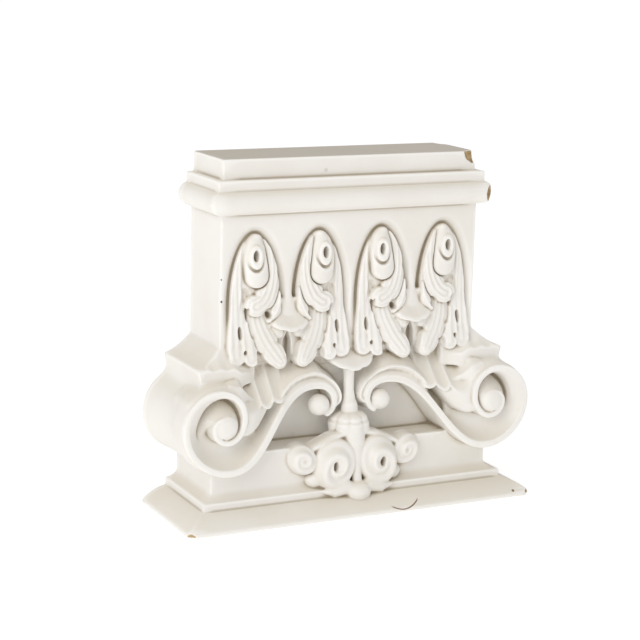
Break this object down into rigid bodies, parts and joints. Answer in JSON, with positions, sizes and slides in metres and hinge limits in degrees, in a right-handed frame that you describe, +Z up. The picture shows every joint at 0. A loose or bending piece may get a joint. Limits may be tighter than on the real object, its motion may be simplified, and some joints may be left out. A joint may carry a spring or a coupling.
{
  "type": "pilaster capital",
  "caption": "Corinthian pilaster capital cast in plaster, stood upside down on its abacus, with scrolls at the corners, acanthus leaves in niches and a rosette on the abacus.",
  "frame": {"origin": "middle of the underside, which is the top face of the abacus because the capital stands upside down", "axes": "+X along the front to the viewer's right, +Y from the carved front to the flat back, +Z up as it stands"},
  "size_m": [0.3898, 0.1312, 0.36],
  "materials": {
    "painted_plaster": "matte"
  },
  "bodies": {
    "root": {"pilaster_capital": "painted_plaster"}
  },
  "joints": []
}
